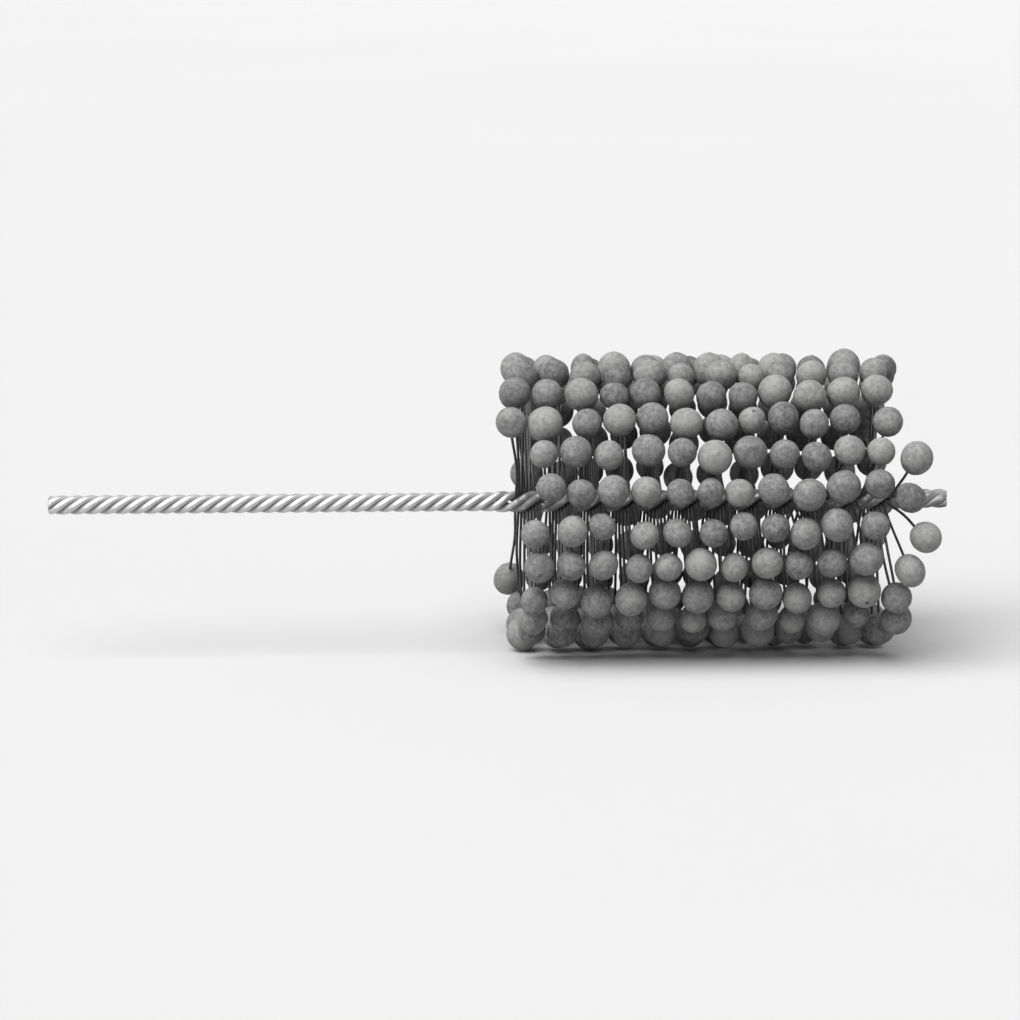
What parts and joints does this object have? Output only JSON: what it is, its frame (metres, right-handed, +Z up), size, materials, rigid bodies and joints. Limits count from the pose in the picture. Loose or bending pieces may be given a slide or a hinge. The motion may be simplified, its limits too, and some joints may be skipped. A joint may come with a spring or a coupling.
{
  "type": "flexible ball hone",
  "caption": "Twisted wire stem carrying radial nylon filaments, each tipped with an abrasive globule, for honing the wall of a bore.",
  "frame": {"origin": "centre of the stem's driven end, on the stem's axis", "axes": "+X along the stem from the driven end to the tip, +Z up as the hone lies in the picture"},
  "size_m": [0.343, 0.1148, 0.1151],
  "materials": {
    "steel": "galvanised wire",
    "nylon": "drawn nylon",
    "abrasive": "bonded grit"
  },
  "bodies": {
    "stem": {"stem_wire_1": "steel", "stem_wire_2": "steel", "stem_wire_3": "steel", "stem_wire_4": "steel", "filaments_01": "nylon", "filaments_02": "nylon", "filaments_03": "nylon", "filaments_04": "nylon", "filaments_05": "nylon", "filaments_06": "nylon", "filaments_07": "nylon", "filaments_08": "nylon", "filaments_09": "nylon", "filaments_10": "nylon", "filaments_11": "nylon"},
    "row_01": {"globules_row_01": "abrasive"},
    "row_02": {"globules_row_02": "abrasive"},
    "row_03": {"globules_row_03": "abrasive"},
    "row_04": {"globules_row_04": "abrasive"},
    "row_05": {"globules_row_05": "abrasive"},
    "row_06": {"globules_row_06": "abrasive"},
    "row_07": {"globules_row_07": "abrasive"},
    "row_08": {"globules_row_08": "abrasive"},
    "row_09": {"globules_row_09": "abrasive"},
    "row_10": {"globules_row_10": "abrasive"},
    "row_11": {"globules_row_11": "abrasive"},
    "row_12": {"globules_row_12": "abrasive"},
    "row_13": {"globules_row_13": "abrasive"},
    "row_14": {"globules_row_14": "abrasive"},
    "row_15": {"globules_row_15": "abrasive"},
    "row_16": {"globules_row_16": "abrasive"},
    "row_17": {"globules_row_17": "abrasive"},
    "row_18": {"globules_row_18": "abrasive"},
    "row_19": {"globules_row_19": "abrasive"},
    "row_20": {"globules_row_20": "abrasive"},
    "row_21": {"globules_row_21": "abrasive"},
    "row_22": {"globules_row_22": "abrasive"}
  },
  "joints": [
    {"name": "row_01_lean", "type": "hinge", "parent": "stem", "child": "row_01", "pos_m": [0.2499, -0.00629, 0.00644], "axis": [1, 0, 0], "range_deg": [-30, 30], "stiffness_Nm_per_rad": 0.3, "deforming": ["filaments_01"]},
    {"name": "row_02_lean", "type": "hinge", "parent": "stem", "child": "row_02", "pos_m": [0.2499, -0.00422, 0.00795], "axis": [1, 0, 0], "range_deg": [-30, 30], "stiffness_Nm_per_rad": 0.3, "deforming": ["filaments_02"]},
    {"name": "row_03_lean", "type": "hinge", "parent": "stem", "child": "row_03", "pos_m": [0.2499, -0.00181, 0.00882], "axis": [1, 0, 0], "range_deg": [-30, 30], "stiffness_Nm_per_rad": 0.3, "deforming": ["filaments_03"]},
    {"name": "row_04_lean", "type": "hinge", "parent": "stem", "child": "row_04", "pos_m": [0.2499, 0.00075, 0.00897], "axis": [1, 0, 0], "range_deg": [-30, 30], "stiffness_Nm_per_rad": 0.3, "deforming": ["filaments_04"]},
    {"name": "row_05_lean", "type": "hinge", "parent": "stem", "child": "row_05", "pos_m": [0.2499, 0.00325, 0.00839], "axis": [1, 0, 0], "range_deg": [-30, 30], "stiffness_Nm_per_rad": 0.3, "deforming": ["filaments_05"]},
    {"name": "row_06_lean", "type": "hinge", "parent": "stem", "child": "row_06", "pos_m": [0.2499, 0.00548, 0.00714], "axis": [1, 0, 0], "range_deg": [-30, 30], "stiffness_Nm_per_rad": 0.3, "deforming": ["filaments_06"]},
    {"name": "row_07_lean", "type": "hinge", "parent": "stem", "child": "row_07", "pos_m": [0.2499, 0.00727, 0.0053], "axis": [1, 0, 0], "range_deg": [-30, 30], "stiffness_Nm_per_rad": 0.3, "deforming": ["filaments_07"]},
    {"name": "row_08_lean", "type": "hinge", "parent": "stem", "child": "row_08", "pos_m": [0.2499, 0.00847, 0.00304], "axis": [1, 0, 0], "range_deg": [-30, 30], "stiffness_Nm_per_rad": 0.3, "deforming": ["filaments_08"]},
    {"name": "row_09_lean", "type": "hinge", "parent": "stem", "child": "row_09", "pos_m": [0.2499, 0.00898, 0.00053], "axis": [1, 0, 0], "range_deg": [-30, 30], "stiffness_Nm_per_rad": 0.3, "deforming": ["filaments_09"]},
    {"name": "row_10_lean", "type": "hinge", "parent": "stem", "child": "row_10", "pos_m": [0.2499, 0.00877, -0.00202], "axis": [1, 0, 0], "range_deg": [-30, 30], "stiffness_Nm_per_rad": 0.3, "deforming": ["filaments_10"]},
    {"name": "row_11_lean", "type": "hinge", "parent": "stem", "child": "row_11", "pos_m": [0.2499, 0.00785, -0.00441], "axis": [1, 0, 0], "range_deg": [-30, 30], "stiffness_Nm_per_rad": 0.3, "deforming": ["filaments_11"]},
    {"name": "row_12_lean", "type": "hinge", "parent": "stem", "child": "row_12", "pos_m": [0.2499, 0.00629, -0.00644], "axis": [1, 0, 0], "range_deg": [-30, 30], "stiffness_Nm_per_rad": 0.3, "deforming": ["filaments_01"]},
    {"name": "row_13_lean", "type": "hinge", "parent": "stem", "child": "row_13", "pos_m": [0.2499, 0.00422, -0.00795], "axis": [1, 0, 0], "range_deg": [-30, 30], "stiffness_Nm_per_rad": 0.3, "deforming": ["filaments_02"]},
    {"name": "row_14_lean", "type": "hinge", "parent": "stem", "child": "row_14", "pos_m": [0.2499, 0.00181, -0.00882], "axis": [1, 0, 0], "range_deg": [-30, 30], "stiffness_Nm_per_rad": 0.3, "deforming": ["filaments_03"]},
    {"name": "row_15_lean", "type": "hinge", "parent": "stem", "child": "row_15", "pos_m": [0.2499, -0.00075, -0.00897], "axis": [1, 0, 0], "range_deg": [-30, 30], "stiffness_Nm_per_rad": 0.3, "deforming": ["filaments_04"]},
    {"name": "row_16_lean", "type": "hinge", "parent": "stem", "child": "row_16", "pos_m": [0.2499, -0.00325, -0.00839], "axis": [1, 0, 0], "range_deg": [-30, 30], "stiffness_Nm_per_rad": 0.3, "deforming": ["filaments_05"]},
    {"name": "row_17_lean", "type": "hinge", "parent": "stem", "child": "row_17", "pos_m": [0.2499, -0.00548, -0.00714], "axis": [1, 0, 0], "range_deg": [-30, 30], "stiffness_Nm_per_rad": 0.3, "deforming": ["filaments_06"]},
    {"name": "row_18_lean", "type": "hinge", "parent": "stem", "child": "row_18", "pos_m": [0.2499, -0.00727, -0.0053], "axis": [1, 0, 0], "range_deg": [-30, 30], "stiffness_Nm_per_rad": 0.3, "deforming": ["filaments_07"]},
    {"name": "row_19_lean", "type": "hinge", "parent": "stem", "child": "row_19", "pos_m": [0.2499, -0.00847, -0.00304], "axis": [1, 0, 0], "range_deg": [-30, 30], "stiffness_Nm_per_rad": 0.3, "deforming": ["filaments_08"]},
    {"name": "row_20_lean", "type": "hinge", "parent": "stem", "child": "row_20", "pos_m": [0.2499, -0.00898, -0.00053], "axis": [1, 0, 0], "range_deg": [-30, 30], "stiffness_Nm_per_rad": 0.3, "deforming": ["filaments_09"]},
    {"name": "row_21_lean", "type": "hinge", "parent": "stem", "child": "row_21", "pos_m": [0.2499, -0.00877, 0.00202], "axis": [1, 0, 0], "range_deg": [-30, 30], "stiffness_Nm_per_rad": 0.3, "deforming": ["filaments_10"]},
    {"name": "row_22_lean", "type": "hinge", "parent": "stem", "child": "row_22", "pos_m": [0.2499, -0.00785, 0.00441], "axis": [1, 0, 0], "range_deg": [-30, 30], "stiffness_Nm_per_rad": 0.3, "deforming": ["filaments_11"]}
  ],
  "couplings": [
    {"joint": "row_02_lean", "follows": "row_01_lean", "ratio": 1},
    {"joint": "row_03_lean", "follows": "row_01_lean", "ratio": 1},
    {"joint": "row_04_lean", "follows": "row_01_lean", "ratio": 1},
    {"joint": "row_05_lean", "follows": "row_01_lean", "ratio": 1},
    {"joint": "row_06_lean", "follows": "row_01_lean", "ratio": 1},
    {"joint": "row_07_lean", "follows": "row_01_lean", "ratio": 1},
    {"joint": "row_08_lean", "follows": "row_01_lean", "ratio": 1},
    {"joint": "row_09_lean", "follows": "row_01_lean", "ratio": 1},
    {"joint": "row_10_lean", "follows": "row_01_lean", "ratio": 1},
    {"joint": "row_11_lean", "follows": "row_01_lean", "ratio": 1},
    {"joint": "row_12_lean", "follows": "row_01_lean", "ratio": 1},
    {"joint": "row_13_lean", "follows": "row_01_lean", "ratio": 1},
    {"joint": "row_14_lean", "follows": "row_01_lean", "ratio": 1},
    {"joint": "row_15_lean", "follows": "row_01_lean", "ratio": 1},
    {"joint": "row_16_lean", "follows": "row_01_lean", "ratio": 1},
    {"joint": "row_17_lean", "follows": "row_01_lean", "ratio": 1},
    {"joint": "row_18_lean", "follows": "row_01_lean", "ratio": 1},
    {"joint": "row_19_lean", "follows": "row_01_lean", "ratio": 1},
    {"joint": "row_20_lean", "follows": "row_01_lean", "ratio": 1},
    {"joint": "row_21_lean", "follows": "row_01_lean", "ratio": 1},
    {"joint": "row_22_lean", "follows": "row_01_lean", "ratio": 1}
  ]
}
